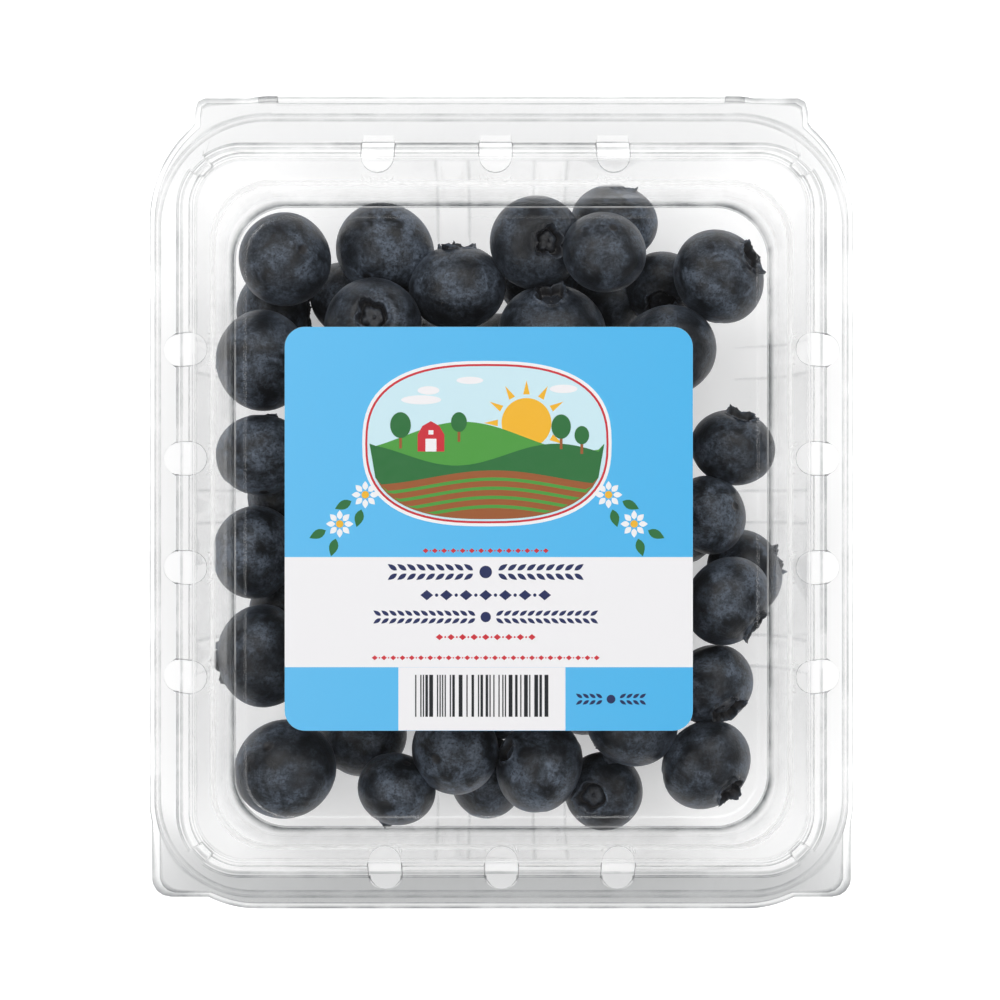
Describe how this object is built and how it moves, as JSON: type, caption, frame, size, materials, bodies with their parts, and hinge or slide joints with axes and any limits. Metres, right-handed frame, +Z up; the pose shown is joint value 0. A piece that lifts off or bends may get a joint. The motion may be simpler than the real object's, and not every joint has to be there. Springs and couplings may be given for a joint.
{
  "type": "punnet of blueberries",
  "caption": "Low clear plastic punnet with a hinged, vented snap lid and a square label, filled with fresh blueberries.",
  "frame": {"origin": "on the table, under the middle of the pack", "axes": "+Z up, +Y towards the lid's hinge, +X to the right of a person who faces the opening tabs"},
  "size_m": [0.1178, 0.136, 0.0351],
  "materials": {
    "clear_tray": "clear thermoformed plastic sheet, glossy",
    "clear_lid": "clear thermoformed plastic sheet, glossy",
    "label_stock": "printed film label, soft gloss",
    "berry_skin": "dark blue-black skin under a dull waxy bloom"
  },
  "bodies": {
    "tray": {"tray": "clear_tray", "berries": "berry_skin"},
    "lid": {"lid": "clear_lid", "label": "label_stock"}
  },
  "joints": [
    {"name": "lid_hinge", "type": "hinge", "parent": "tray", "child": "lid", "pos_m": [0, 0.0683, 0.02415], "axis": [-1, 0, 0], "range_deg": [0, 180]}
  ]
}
